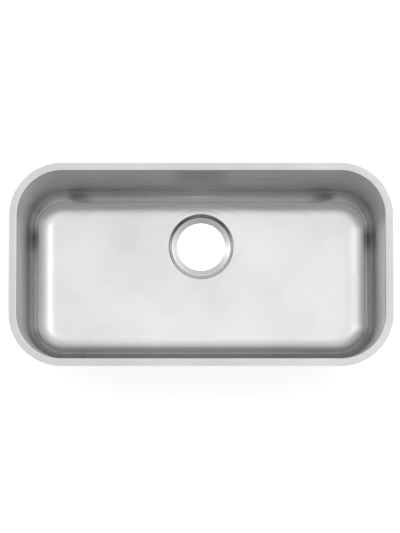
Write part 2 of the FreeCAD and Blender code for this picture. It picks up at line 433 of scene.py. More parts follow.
def brushing_group() -> bpy.types.NodeTree:
    """Makes the group that draws brushing, long thin streaks along the first coordinate.

    Returns:
        The group, which puts out streaks about 0.5.
    """
    inputs = {"Along": 0.0, "Across": 0.0, "Streak length": 0.1, "Streak width": 0.001}
    group = ShaderGroup("brushing", inputs, ("Streaks",))
    along = group.taken("Along") / group.taken("Streak length")
    across = group.taken("Across") / group.taken("Streak width")
    broad = group.noise(group.vector(along, across), 1.0, 3.0, seed=1.0)
    finer = group.vector(along * THIN_ALONG, across * THIN_ACROSS)
    thin = group.noise(finer, 1.0, 2.0, seed=2.0)
    group.give("Streaks", broad * BROAD_SHARE + thin * (1.0 - BROAD_SHARE))
    return group.tree


def mottling_group() -> bpy.types.NodeTree:
    """Makes the group that mottles a surface with soft patches and a fine grain.

    Returns:
        The group, which puts out patches and grain, both about 0.5.
    """
    inputs = {"Place": (0.0, 0.0, 0.0), "Patches in a metre": 20.0, "Grains in a metre": 500.0}
    group = ShaderGroup("mottling", inputs, ("Patches", "Grain"))
    place = group.taken("Place")
    group.give("Patches", group.noise(place, group.taken("Patches in a metre"), 3.0, seed=3.0))
    group.give("Grain", group.noise(place, group.taken("Grains in a metre"), 2.0, seed=4.0))
    return group.tree


class Surface(Graph):
    """A material in the making, with its Principled shader."""

    def __init__(self, name: str) -> None:
        """Starts a material.

        Args:
            name: The material's name.
        """
        self.material = bpy.data.materials.new(name)
        self.material.use_nodes = True
        super().__init__(self.material.node_tree)
        self.tree.nodes.clear()
        self.shader = self.add("ShaderNodeBsdfPrincipled")
        self.end = self.add("ShaderNodeOutputMaterial")
        self.tree.links.new(self.shader.outputs[0], self.end.inputs["Surface"])
        self.place = self.field(self.add("ShaderNodeTexCoord").outputs["Object"])

    def constants(self, **values: object) -> None:
        """Sets the shader's own sockets, by their names with _ for a space."""
        for name, value in values.items():
            self.shader.inputs[name.replace("_", " ")].default_value = value

    def colour(self, shade: Field, tint: tuple[float, float, float]) -> None:
        """Colours the surface by a shade times a tint."""
        parts = [shade * channel for channel in tint]
        joined = self.add("ShaderNodeCombineColor", dict(enumerate(parts)))
        self.feed(self.shader.inputs["Base Color"], joined.outputs[0])

    def roughness(self, value: Field) -> None:
        """Makes the surface as rough as a value says."""
        self.feed(self.shader.inputs["Roughness"], value.clamp())

    def bump(self, height: Field) -> None:
        """Raises the surface by a height in metres."""
        sockets = {"Strength": 1.0, "Distance": 1.0, "Height": height}
        node = self.add("ShaderNodeBump", sockets)
        self.feed(self.shader.inputs["Normal"], node.outputs["Normal"])

    def attribute(self, name: str, output: str = "Fac") -> Field:
        """Reads a named attribute of the mesh."""
        node = self.add("ShaderNodeAttribute", attribute_name=name)
        return self.field(node.outputs[output])

    def use(self, group: bpy.types.NodeTree, *inputs: object) -> list[Field]:
        """Places a shader group.

        Args:
            group: The group.
            *inputs: What its inputs get, in their order.

        Returns:
            Its outputs.
        """
        node = self.add("ShaderNodeGroup", node_tree=group)
        for socket, value in zip(node.inputs, inputs):
            self.feed(socket, value)
        return [self.field(output) for output in node.outputs]


@dataclass(frozen=True)
class Brush:
    """How long and how wide a finish's streaks are, in metres."""

    length: float
    width: float

    def draw(
        self, look: Surface, brushing: bpy.types.NodeTree, along: Field, across: Field
    ) -> Field:
        """Streaks about 0.5, along the first coordinate, from the brushing group."""
        return look.use(brushing, along, across, self.length, self.width)[0]


@dataclass(frozen=True)
class BrushedSteel:
    """The water's side: stainless steel, brushed round the walls, along the floor and round the
    drain's seat, with the faint rings that drawing leaves on the walls. Shade is painted into its
    colour beside the rear corners and at the rear of the drain's recess, light is painted onto the
    recess's seat and step, and a painted highlight runs along the crease line round the cove."""

    tint: tuple[float, float, float] = (0.640, 0.645, 0.640)
    base_roughness: float = 0.26
    streak_roughness: float = 0.10
    anisotropy: float = 0.5
    grain_turn: float = 0.25
    wall_brush: Brush = Brush(0.150, 0.0020)
    floor_brush: Brush = Brush(0.110, 0.0016)
    seat_brush: Brush = Brush(0.060, 0.0008)
    draw_marks: Brush = Brush(0.900, 0.0200)
    draw_shade: float = 0.70
    draw_height: float = 0.30 * MM
    streak_height: float = 0.004 * MM
    streak_shade: float = 0.10
    flange_shade: float = 0.86
    seat_turn: float = 0.05
    patches_in_a_metre: float = 8.0
    patch_shade: float = 0.32
    # the crease line round the cove: a low ridge in the bump and a painted highlight in the colour
    crease: float = 28.5 * MM
    crease_reach: float = 3.0 * MM
    crease_height: float = 0.30 * MM
    crease_painted_highlight: float = 0.25
    step_polish: float = 0.30
    # the drain's recess: painted light on its seat and step, and painted shadow toward their rear
    seat_painted_light: float = 0.10
    seat_shadow: float = 0.35
    step_painted_light: float = 0.35
    step_shadow: float = 0.90
    shadow_from: float = -10 * MM
    shadow_to: float = 45 * MM
    # painted shade beside the rear corners: a band of the walls near this inset is darkened in the
    # steel's colour
    corner_inset: float = 24 * MM
    corner_reach: float = 14 * MM
    painted_corner_darkness: float = 0.55

    def material(
        self, brushing: bpy.types.NodeTree, mottling: bpy.types.NodeTree, drain_y: float
    ) -> bpy.types.Material:
        """Makes the material.

        Args:
            brushing: The group that draws streaks.
            mottling: The group that draws patches and grain.
            drain_y: Where the drain's axis is, for the round brushing on its seat and for the
                recess's painted light and painted shadow.

        Returns:
            The material.
        """
        look = Surface("brushed_inside")
        x, y, _ = look.parts(look.place)
        run, way, _ = look.parts(look.attribute("brush", "Vector"))
        floor = look.attribute("level_share")
        seat = look.attribute("seat_share")
        flange = look.attribute("flange_share")
        radius = look.length(x, y - drain_y)
        turn = look.math("ARCTAN2", y - drain_y, x) * self.seat_turn
        walls = self.wall_brush.draw(look, brushing, run, way)
        level = self.floor_brush.draw(look, brushing, x, y)
        ring = self.seat_brush.draw(look, brushing, turn, radius)
        streaks = walls + (level - walls) * floor
        streaks = streaks + (ring - streaks) * seat
        marks = self.draw_marks.draw(look, brushing, run, way)
        marks = (marks - 0.5) * (1.0 - floor)
        patches, _ = look.use(mottling, look.place, self.patches_in_a_metre)
        inset = look.attribute("inset")
        # painted highlight: a lighter line in the colour along the crease, which also rises a
        # little in the bump
        crease = look.ramp(abs(inset - self.crease), self.crease_reach, 0.0)
        # painted shade: the walls beside the rear corners are darkened in the colour
        corner = look.ramp(abs(inset - self.corner_inset), self.corner_reach, 0.0)
        corner = corner * look.attribute("painted_corner_mask")
        shade = 1.0 + (streaks - 0.5) * self.streak_shade + (patches - 0.5) * self.patch_shade
        # the draw marks' tone, and the crease's painted highlight
        shade = shade + marks * self.draw_shade + crease * self.crease_painted_highlight
        shade = shade * (1.0 - flange * (1.0 - self.flange_shade))
        step = look.attribute("step_share")
        # painted light on the recess's seat and step, and painted shadow on them toward the rear
        rear = look.ramp(y - drain_y, self.shadow_from, self.shadow_to)
        recess = 1.0 + seat * (self.seat_painted_light - rear * self.seat_shadow)
        recess = recess * (1.0 + step * (self.step_painted_light - rear * self.step_shadow))
        look.colour(shade * recess * (1.0 - corner * self.painted_corner_darkness), self.tint)
        roughness = self.base_roughness + (streaks - 0.5) * self.streak_roughness
        look.roughness(roughness * (1.0 - step * self.step_polish))
        look.constants(
            Metallic=1.0, Anisotropic=self.anisotropy, Anisotropic_Rotation=self.grain_turn
        )
        look.feed(look.shader.inputs["Tangent"], look.attribute("grain", "Vector"))
        marks = marks * self.draw_height + crease * self.crease_height
        look.bump(marks + streaks * self.streak_height)
        return look.material


@dataclass(frozen=True)
class BareSteel:
    """The sheet's back: dull mill steel with faint marks down the walls."""

    tint: tuple[float, float, float] = (0.52, 0.52, 0.515)
    base_roughness: float = 0.42
    rolling: Brush = Brush(0.200, 0.0040)
    patches_in_a_metre: float = 16.0
    grains_in_a_metre: float = 900.0
    patch_shade: float = 0.30
    patch_roughness: float = 0.20
    line_shade: float = 0.12
    line_roughness: float = 0.10
    grain_height: float = 0.006 * MM

    def material(
        self, brushing: bpy.types.NodeTree, mottling: bpy.types.NodeTree
    ) -> bpy.types.Material:
        """Makes the material.

        Args:
            brushing: The group that draws streaks.
            mottling: The group that draws patches and grain.

        Returns:
            The material.
        """
        look = Surface("bare_back")
        run, way, _ = look.parts(look.attribute("brush", "Vector"))
        lines = self.rolling.draw(look, brushing, way, run) - 0.5
        scales = (self.patches_in_a_metre, self.grains_in_a_metre)
        patches, grain = look.use(mottling, look.place, *scales)
        patches = patches - 0.5
        look.colour(1.0 + patches * self.patch_shade + lines * self.line_shade, self.tint)
        roughness = self.base_roughness + patches * self.patch_roughness
        look.roughness(roughness + lines * self.line_roughness)
        look.constants(Metallic=1.0)
        look.bump(grain * self.grain_height)
        return look.material


@dataclass(frozen=True)
class DeadeningCoat:
    """A sprayed, pebbled coat of grey paint that deadens sound."""

    tint: tuple[float, float, float] = (0.30, 0.30, 0.295)
    base_roughness: float = 0.85
    patches_in_a_metre: float = 22.0
    pebbles_in_a_metre: float = 420.0
    patch_shade: float = 0.25
    pebble_shade: float = 0.50
    pebble_roughness: float = 0.20
    pebble_height: float = 0.5 * MM

    def material(self, mottling: bpy.types.NodeTree) -> bpy.types.Material:
        """Makes the material.

        Args:
            mottling: The group that draws patches and grain.

        Returns:
            The material.
        """
        look = Surface("sprayed_coat")
        scales = (self.patches_in_a_metre, self.pebbles_in_a_metre)
        patches, pebbles = look.use(mottling, look.place, *scales)
        shade = 1.0 + (pebbles - 0.5) * self.pebble_shade + (patches - 0.5) * self.patch_shade
        look.colour(shade, self.tint)
        look.roughness(self.base_roughness + (pebbles - 0.5) * self.pebble_roughness)
        look.bump(pebbles * self.pebble_height)
        return look.material


@dataclass(frozen=True)
class PadRubber:
    """Matt black sheet rubber with a fine grain and a trace of dust."""

    tint: tuple[float, float, float] = (0.045, 0.045, 0.047)
    base_roughness: float = 0.62
    dust_in_a_metre: float = 30.0
    grains_in_a_metre: float = 900.0
    dust_shade: float = 0.90
    dust_roughness: float = 0.25
    grain_shade: float = 0.30
    grain_height: float = 0.1 * MM

    def material(self, mottling: bpy.types.NodeTree) -> bpy.types.Material:
        """Makes the material.

        Args:
            mottling: The group that draws patches and grain.

        Returns:
            The material.
        """
        look = Surface("sheet_rubber")
        scales = (self.dust_in_a_metre, self.grains_in_a_metre)
        dust, grain = look.use(mottling, look.place, *scales)
        shade = 1.0 + (grain - 0.5) * self.grain_shade + (dust - 0.5) * self.dust_shade
        look.colour(shade, self.tint)
        look.roughness(self.base_roughness + (dust - 0.5) * self.dust_roughness)
        look.bump(grain * self.grain_height)
        return look.material


# --- the sink ------------------------------------------------------------------------------------


@dataclass
class SubAssembly:
    """A part of the sink, whose sizes are its fields, in metres and radians."""

    def values(self) -> dict[str, float | int]:
        """The sizes and counts, which the part's node tree takes as named inputs."""
        plain = (float, int)
        return {one.name: getattr(self, one.name) for one in fields(self) if one.type in plain}


@dataclass(frozen=True)
class Outline:
    """A rounded rectangle in a node tree, followed from the middle of its right side."""

    graph: Graph
    half_length: object
    half_width: object
    corner: object

    @property
    def core(self) -> tuple[object, object]:
        """Half the length and half the width of the straight sides."""
        return self.half_length - self.corner, self.half_width - self.corner

    @property
    def way_round(self) -> object:
        """The length of the whole outline."""
        reach_x, reach_y = self.core
        return (reach_x + reach_y) * 4.0 + self.corner * math.tau

    def follow(self, run: Field) -> tuple[Field, Field, Field, Field]:
        """Follows the outline.

        Args:
            run: The way along it.

        Returns:
            The x and y of the nearest point of the straight-sided core, and the x and y of the
            direction that points out of the outline.
        """
        reach_x, reach_y = self.core
        arc = self.corner * QUARTER
        sides = [(reach_y, 0, 1), (reach_x * 2.0, -1, 0), (reach_y * 2.0, 0, -1),
                 (reach_x * 2.0, 1, 0), (reach_y, 0, 1)]
        x = reach_x
        y: object = 0.0
        turn: object = 0.0
        start: object = 0.0
        for number, (length, step_x, step_y) in enumerate(sides):
            done = self.graph.ramp(run, start, length + start, smooth=False) * length
            x = done * step_x + x
            y = done * step_y + y
            start = length + start
            if number < len(sides) - 1:
                turn = self.graph.ramp(run, start, arc + start, smooth=False) * QUARTER + turn
                start = arc + start
        return x, y, turn.cos(), turn.sin()

    def inset(self, x: Field, y: Field) -> Field:
        """Measures how far inside the outline a point is.

        Args:
            x: The point's x.
            y: The point's y.

        Returns:
            The distance to the outline.
        """
        reach_x, reach_y = self.core
        past_x = abs(x) - reach_x
        past_y = abs(y) - reach_y
        corner = self.graph.length(past_x.most(0.0), past_y.most(0.0))
        return self.corner - corner - past_x.most(past_y).least(0.0)


class Stretch(Enum):
    """The stretches of the pressing's section, from the flange's edge to the drain's hole."""

    FLANGE = "flange"
    RIM = "rim"
    WALL = "wall"
    COVE = "cove"
    FLOOR = "floor"
    APRON = "apron"
    MOUTH = "mouth"
    STEP = "step"
    FOOT = "foot"
    SEAT = "seat"


@dataclass
class PressedBowl(SubAssembly):
    """The bowl and its flange, pressed from one sheet, and the forms that its pieces share."""

    length: float = 680 * MM
    width: float = 348 * MM
    corner: float = 83 * MM
    draft: float = math.radians(5)
    cove: float = 45 * MM
    cove_ease: float = 18 * MM
    blend_angle: float = math.radians(45)
    depth: float = 204 * MM
    fall: float = math.radians(0.8)
    flange: float = 15 * MM
    rim: float = 1.8 * MM
    drain_y: float = 58 * MM
    hole: float = 45 * MM
    seat: float = 56 * MM
    seat_dish: float = math.radians(12)
    mouth: float = 61.5 * MM
    recess: float = 8 * MM
    bend: float = 2.5 * MM
    apron: float = 66 * MM
    closing_power: float = 1.5
    wall_wave: float = 0.4 * MM
    wall_waves_in_a_metre: float = 7.0
    wall_wave_from: float = 4 * MM
    wall_wave_to: float = 40 * MM
    floor_wave: float = 0.12 * MM
    floor_waves_in_a_metre: float = 6.0
    floor_wave_to: float = -30 * MM
    drain_calm: float = 90 * MM
    wave_seed: float = 5.0
    level_from: float = -12 * MM
    level_to: float = 10 * MM
    brush_gap: float = 100 * MM
    # where the painted shade beside the rear corners rises, fades and ends along the outline, and
    # how far to the rear it reaches
    painted_corner_near: float = 16 * MM
    painted_corner_full: float = 22 * MM
    painted_corner_far: float = 60 * MM
    drawn_rear: float = 60 * MM
    columns: int = 360
    sheet: float = 1.19 * MM
    rows: dict[Stretch, int] = field(
        default_factory=lambda: {
            Stretch.FLANGE: 3, Stretch.RIM: 6, Stretch.WALL: 20, Stretch.COVE: 12,
            Stretch.FLOOR: 40, Stretch.APRON: 2, Stretch.MOUTH: 5, Stretch.STEP: 3,
            Stretch.FOOT: 5, Stretch.SEAT: 4,
        }
    )

    @staticmethod
    def outline(shape: Shape) -> Outline:
        """The edge where walls and flange would meet if the rim were sharp."""
        size = shape.sizes
        return Outline(shape, size.length / 2, size.width / 2, size.corner)

    @staticmethod
    def floor_edge(size: SimpleNamespace) -> Field:
        """How far inside the outline the floor's flat starts."""
        return size.depth * size.draft.tan() + size.cove * (math.pi / 4 - size.draft / 2).tan()

    def floor_height(self, shape: Shape, x: Field, y: Field) -> Field:
        """Works out where the floor's water side is: it falls to the drain, eases into the cove
        and waves a little.

        Args:
            shape: The tree.
            x: A point's x.
            y: A point's y.

        Returns:
            The floor's height there.
        """
        size = shape.sizes
        inset = self.outline(shape).inset(x, y)
        past = self.floor_edge(size) - inset
        eased = ((past + size.cove_ease) / (size.cove_ease * 2.0)).clamp()
        reach = eased * eased * size.cove_ease + (past - size.cove_ease).most(0.0)
        lift = size.cove - (size.cove * size.cove - reach * reach).root()
        from_drain = shape.length(x, y - size.drain_y)
        middle = shape.ramp(past, 0.0, size.floor_wave_to)
        middle = middle * shape.ramp(from_drain, size.mouth, size.drain_calm)
        place = shape.vector(x, y)
        wave = shape.noise(place, size.floor_waves_in_a_metre, 1.0, size.wave_seed) - 0.5
        sag = wave * middle * (size.floor_wave * 2.0)
        return (size.drain_y - y) * size.fall.tan() - size.depth + lift + sag

    def share(self, shape: Shape, row: Field, stretch: Stretch) -> Field:
        """Says how much of a stretch of the section lies behind a row.

        Args:
            shape: The tree.
            row: The row's number.
            stretch: The stretch.

        Returns:
            0 before the stretch, 1 after it.
        """
        order = list(self.rows)
        start = sum(self.rows[one] for one in order[: order.index(stretch)])
        return shape.ramp(row, start, start + self.rows[stretch], smooth=False)

    def wall_section(self, shape: Shape, row: Field) -> tuple[Field, Field, Field]:
        """Follows the section from the flange's edge into the cove.

        Args:
            shape: The tree.
            row: The row's number.

        Returns:
            How far inside the outline the row is, how deep it is, and its way along the section.
        """
        size = shape.sizes
        lean = QUARTER - size.draft
        rim_tangent = size.rim * (lean / 2).tan()
        cove_tangent = size.cove * (lean / 2).tan()
        straight = size.depth / size.draft.cos() - rim_tangent - cove_tangent
        level = self.share(shape, row, Stretch.FLANGE) * (size.flange - rim_tangent)
        rim = self.share(shape, row, Stretch.RIM) * lean
        down = self.share(shape, row, Stretch.WALL) * straight
        cove = lean - self.share(shape, row, Stretch.COVE) * (lean - size.blend_angle)
        inset = (
            level
            - size.flange
            + rim.sin() * size.rim
            + down * size.draft.sin()
            + (lean.sin() - cove.sin()) * size.cove
        )
        depth = (
            (1.0 - rim.cos()) * size.rim
            + down * size.draft.cos()
            + (cove.cos() - lean.cos()) * size.cove
        )
        way = level + rim * size.rim + down + (lean - cove) * size.cove
        return inset, depth, way

    def drain_section(self, shape: Shape, row: Field) -> tuple[Field, Field]:
        """Follows the recess's section from the floor to the hole.

        Args:
            shape: The tree.
            row: The row's number.

        Returns:
            The distance from the drain's axis and the drop below the floor.
        """
        size = shape.sizes
        dish = (size.seat - size.hole) * size.seat_dish.tan()
        fall = size.recess - dish
        slope = shape.math("ARCTAN2", fall, size.mouth - size.seat)
        tangent = size.bend * (slope / 2).tan()
        straight = shape.length(fall, size.mouth - size.seat) - tangent * 2.0
        apron = self.share(shape, row, Stretch.APRON) * (size.apron - size.mouth - tangent)
        mouth = self.share(shape, row, Stretch.MOUTH) * slope
        down = self.share(shape, row, Stretch.STEP) * straight
        foot = slope - self.share(shape, row, Stretch.FOOT) * slope
        level = self.share(shape, row, Stretch.SEAT) * (size.seat - tangent - size.hole)
        radius = (
            size.apron
            - apron
            - mouth.sin() * size.bend
            - down * slope.cos()
            - (slope.sin() - foot.sin()) * size.bend
            - level
        )
        drop = (
            (1.0 - mouth.cos()) * size.bend
            + down * slope.sin()
            + (foot.cos() - slope.cos()) * size.bend
            + level * size.seat_dish.tan()
        )
        return radius, drop

    @staticmethod
    def painted_corner_mask(shape: Shape, outline: Outline, core_x: Field, core_y: Field) -> Field:
        """Finds the places just beside the rear corners, whose walls get a painted shade in the
        inside's colour.

        Args:
            shape: The tree.
            outline: The bowl's outline.
            core_x: The x of the nearest point of the outline's straight-sided core.
            core_y: That point's y.

        Returns:
            1 in the middle of such a place, 0 away from it.
        """
        size = shape.sizes
        reach_x, reach_y = outline.core
        before = reach_x - abs(core_x) + reach_y - abs(core_y)
        beside = shape.ramp(before, 0.0, size.painted_corner_near)
        beside = beside * shape.ramp(before, size.painted_corner_far, size.painted_corner_full)
        return beside * shape.ramp(core_y, 0.0, size.drawn_rear)

    def build(self, inside: bpy.types.Material, back: bpy.types.Material) -> bpy.types.Object:
        """Builds the pressing.

        Args:
            inside: The finish of the side that the water touches.
            back: The finish of its back.

        Returns:
            The object.
        """
        count = sum(self.rows.values())
        shape = Shape("pressed_bowl", {**self.values(), "row_count": count})
        size = shape.sizes
        mesh, across, row = shape.sheet(size.columns, size.row_count)
        outline = self.outline(shape)
        run = across * outline.way_round
        core_x, core_y, out_x, out_y = outline.follow(run)
        inset, deep, way = self.wall_section(shape, row)
        radius, drop = self.drain_section(shape, row)
        ring_x = core_x + out_x * (size.corner - inset)
        ring_y = core_y + out_y * (size.corner - inset)
        toward = shape.unit(shape.vector(ring_x, ring_y - size.drain_y))
        toward_x, toward_y, _ = shape.parts(toward)
        closing = self.share(shape, row, Stretch.FLOOR) ** size.closing_power
        x = ring_x + (toward_x * radius - ring_x) * closing
        y = ring_y + (toward_y * radius + size.drain_y - ring_y) * closing

        lean_in = (deep / (size.depth - size.cove)).clamp() * size.fall.tan()
        wall_height = (size.drain_y - y) * lean_in - deep
        floor_height = self.floor_height(shape, x, y) - drop
        height = wall_height + (floor_height - wall_height) * closing.above(0.0)
        base = shape.vector(x, y, height)
        body = shape.ramp(deep, size.wall_wave_from, size.wall_wave_to) * (1.0 - closing)
        wave = shape.noise(base, size.wall_waves_in_a_metre, 1.0, size.wave_seed) - 0.5
        push = wave * body * (size.wall_wave * 2.0)
        position = shape.vector(x + out_x * push, y + out_y * push, height)

        edge = self.floor_edge(size)
        inset_here = outline.inset(x, y)
        floor_share = shape.ramp(inset_here, edge + size.level_from, edge + size.level_to)
        seat_share = shape.ramp(self.share(shape, row, Stretch.MOUTH), 0.0, 1.0)
        step_share = seat_share - shape.ramp(self.share(shape, row, Stretch.FOOT), 0.0, 1.0)
        flange_share = 1.0 - self.share(shape, row, Stretch.RIM)
        side = shape.math("SIGN", out_y + 1e-6) * -1.0
        level_share = floor_share.most(flange_share)
        grain = shape.between(
            level_share, shape.vector(-out_y, out_x), shape.vector(side, 0.0)
        )
        grain = shape.between(seat_share, grain, shape.vector(-toward_y, toward_x))
        brush = shape.vector(run, way + closing * size.brush_gap)
        for name, value, *kind_and_domain in (
            ("brush", brush, "FLOAT_VECTOR", "CORNER"),
            ("grain", shape.unit(grain), "FLOAT_VECTOR"),
            ("level_share", level_share),
            ("seat_share", seat_share),
            ("step_share", step_share),
            ("flange_share", flange_share),
            ("inset", inset_here),
            # the painted shade beside the rear corners, which the inside's finish reads
            ("painted_corner_mask", self.painted_corner_mask(shape, outline, core_x, core_y)),
        ):
            mesh = shape.store(mesh, name, value, *kind_and_domain)
        shape.finish(mesh, position, inside)
        thickness = {
            "type": "SOLIDIFY", "thickness": self.sheet, "offset": -1.0, "use_even_offset": True,
        }
        piece = shape.make("bowl_pressing", [inside, back], thickness)
        # the modifier puts the back's faces right after those of the water's side
        faces = self.columns * count
        for face in piece.data.polygons[faces : faces * 2]:
            face.material_index = 1
        piece.data.set_sharp_from_angle(angle=SHARP_ANGLE)
        return piece


@dataclass
class FloorCoat(SubAssembly):
    """The sprayed coat under the floor, with a thin edge and a bare ring round the drain."""

    bowl: PressedBowl
    coat: float = 0.78 * MM
    sunk: float = 0.6 * MM
    margin: float = 4 * MM
    ragged: float = 2.5 * MM
    spray_pitch: float = 9.0
    spray_scale: float = 3.0
    bare: float = 80 * MM
    feather: float = 5 * MM
    edge_seed: float = 11.0
    around: int = 288
    inwards: int = 20

    def build(self, finish: bpy.types.Material) -> bpy.types.Object:
        """Builds the coat as a closed skin: out to in over its top, and back underneath.

        Args:
            finish: Its finish.

        Returns:
            The object.
        """
        shape = Shape("sprayed_coat", {**self.bowl.values(), **self.values()})
        size = shape.sizes
        mesh, across, row = shape.sheet(size.around, size.inwards * 2.0)
        outline = self.bowl.outline(shape)
        core_x, core_y, out_x, out_y = outline.follow(across * outline.way_round)
        along_x = out_x + core_x * size.spray_pitch
        along_y = out_y + core_y * size.spray_pitch
        spray = shape.noise(
            shape.vector(along_x, along_y), size.spray_scale, 3.0, size.edge_seed
        )
        inset = self.bowl.floor_edge(size) + size.margin + spray * size.ragged
        ring_x = core_x + out_x * (size.corner - inset)
        ring_y = core_y + out_y * (size.corner - inset)
        toward = shape.unit(shape.vector(ring_x, ring_y - size.drain_y))
        toward_x, toward_y, _ = shape.parts(toward)
        ring = shape.length(ring_x, ring_y - size.drain_y).least(size.bare)
        leg = row / size.inwards
        share = leg.clamp() - (leg - 1.0).clamp()
        x = ring_x + (toward_x * ring - ring_x) * share
        y = ring_y + (toward_y * ring + size.drain_y - ring_y) * share
        from_edge = outline.inset(x, y) - inset
        from_ring = shape.length(x, y - size.drain_y) - size.bare
        body = shape.ramp(from_edge, 0.0, size.feather) * shape.ramp(from_ring, 0.0, size.feather)
        under = (leg - 1.0).above(0.0)
        thickness = (size.sunk + size.coat) * body * under
        height = self.bowl.floor_height(shape, x, y) - (size.sheet - size.sunk) - thickness
        shape.finish(mesh, shape.vector(x, y, height), finish)
        piece = shape.make("floor_coat_sprayed", [finish])
        close_up(piece)
        return piece


class Wall(Enum):
    """The bowl's walls, by the turn about +Z that brings the front wall there, in degrees."""

    FRONT = 0
    RIGHT = 90
    REAR = 180
    LEFT = 270


@dataclass
class RubberPad(SubAssembly):
    """A die-cut rubber pad with rounded corners and soft edges, glued to the sheet's back."""

    pad_length: float = 190 * MM
    pad_width: float = 95 * MM
    pad_thickness: float = 3.35 * MM
    pad_corner: float = 12 * MM
    pad_edge: float = 0.7 * MM
    around: int = 128
    section: int = 11
    # the rows where the glued face, the lower edge, the side, the upper edge and the top end
    ends: tuple[int, ...] = (1, 5, 6, 10, 11)

    def tree(self, finish: bpy.types.Material) -> Shape:
        """Makes the tree that draws a pad, glued side down, its middle at the origin.

        Args:
            finish: The pads' finish.

        Returns:
            The tree, which each pad runs with its own length and width.
        """
        shape = Shape("rubber_pad", self.values())
        size = shape.sizes
        mesh, across, row = shape.sheet(size.around, size.section)
        outline = Outline(shape, size.pad_length / 2, size.pad_width / 2, size.pad_corner)
        core_x, core_y, out_x, out_y = outline.follow(across * outline.way_round)
        opening, lower, side, upper, closing = (
            shape.ramp(row, start, end, smooth=False)
            for start, end in zip((0, *self.ends), self.ends)
        )
        low = lower * QUARTER
        high = upper * QUARTER
        inset = (2.0 - low.sin() - high.cos()) * size.pad_edge
        scale = opening - closing
        height = (
            (1.0 - low.cos() + high.sin()) * size.pad_edge
            + side * (size.pad_thickness - size.pad_edge * 2.0)
        )
        x = (core_x + out_x * (size.pad_corner - inset)) * scale
        y = (core_y + out_y * (size.pad_corner - inset)) * scale
        shape.finish(mesh, shape.vector(x, y, height), finish)
        return shape


@dataclass
class DeadeningPads:
    """The nine pads: three under the floor round the drain, and six on the walls."""

    bowl: PressedBowl
    floor_skin: float = 1.6 * MM
    wall_skin: float = 0.8 * MM
    side_pad: tuple[float, float] = (160 * MM, 180 * MM)
    front_pad: tuple[float, float] = (130 * MM, 60 * MM)
    long_pad: tuple[float, float] = (190 * MM, 95 * MM)
    end_pad: tuple[float, float] = (120 * MM, 95 * MM)
    bare: float = 80 * MM
    gap: float = 10 * MM
    long_spacing: float = 250 * MM
    wall_middle: float = 92 * MM

    def on_floor(self, across: float, ahead: float) -> Matrix:
        """Finds a place on the floor's back.

        Args:
            across: The place's x.
            ahead: How far it lies before the drain's axis, along the falling floor.

        Returns:
            The turn and the move that bring a pad there.
        """
        cosine, sine = math.cos(self.bowl.fall), math.sin(self.bowl.fall)
        place = Vector((
            across,
            self.bowl.drain_y - ahead * cosine - self.floor_skin * sine,
            ahead * sine - self.bowl.depth - self.floor_skin * cosine,
        ))
        return Matrix.Translation(place) @ Matrix.Rotation(math.pi - self.bowl.fall, 4, "X")

    def on_wall(self, wall: Wall, along: float) -> Matrix:
        """Finds a place on a wall's back.

        Args:
            wall: The wall.
            along: How far to the right of its middle the place lies, seen from outside.

        Returns:
            The turn and the move that bring a pad there.
        """
        draft = self.bowl.draft
        half = self.bowl.width if wall in (Wall.FRONT, Wall.REAR) else self.bowl.length
        out = half / 2 - self.wall_middle * math.tan(draft) + self.wall_skin * math.cos(draft)
        down = self.wall_middle + self.wall_skin * math.sin(draft)
        turn = Matrix.Rotation(math.radians(wall.value), 4, "Z")
        place = Matrix.Translation(Vector((along, -out, -down)))
        return turn @ place @ Matrix.Rotation(QUARTER + draft, 4, "X")

    def build(self, finish: bpy.types.Material) -> dict[str, bpy.types.Object]:
        """Builds the pads.

        Args:
            finish: Their finish.

        Returns:
            Each pad by the frame's node that it stands for.
        """
        tree = RubberPad().tree(finish)
        side = self.bare + self.gap + self.side_pad[0] / 2
        ahead = self.bare + self.gap + self.front_pad[1] / 2
        along = self.long_spacing / 2
        places = {
            "floor_pad_left": (self.side_pad, self.on_floor(-side, self.bowl.drain_y)),
            "floor_pad_right": (self.side_pad, self.on_floor(side, self.bowl.drain_y)),
            "floor_pad_front": (self.front_pad, self.on_floor(0.0, ahead)),
            "front_wall_pad_left": (self.long_pad, self.on_wall(Wall.FRONT, -along)),
            "front_wall_pad_right": (self.long_pad, self.on_wall(Wall.FRONT, along)),
            "rear_wall_pad_right": (self.long_pad, self.on_wall(Wall.REAR, -along)),
            "rear_wall_pad_left": (self.long_pad, self.on_wall(Wall.REAR, along)),
            "left_wall_pad": (self.end_pad, self.on_wall(Wall.LEFT, 0.0)),
            "right_wall_pad": (self.end_pad, self.on_wall(Wall.RIGHT, 0.0)),
        }
        pads = {}
        for node, ((length, width), place) in places.items():
            pad = tree.make(f"{node}_rubber", [finish], pad_length=length, pad_width=width)
            pad.data.transform(place)
            close_up(pad)
            pads[node] = pad
        return pads


# --- the studio ----------------------------------------------------------------------------------


@dataclass(frozen=True)
class SoftLight:
    """A soft light in the ceiling: its strength, and its place and reach as seen in plan, in
    shares of the sky's radius."""

    level: float
    x: float
    y: float
    reach_x: float
    reach_rear: float
    reach_front: float

    def glow(self, graph: Graph, x: Field, y: Field) -> Field:
        """Works out how bright the light is in a direction.

        Args:
            graph: The world's tree.
            x: The direction's x.
            y: The direction's y.

        Returns:
            The brightness.
        """
        ahead = y - self.y
        along = ahead.most(0.0) / self.reach_rear + ahead.least(0.0) / self.reach_front
        far = graph.length((x - self.x) / self.reach_x, along)
        return graph.ramp(far, 1.0, 0.0) * self.level


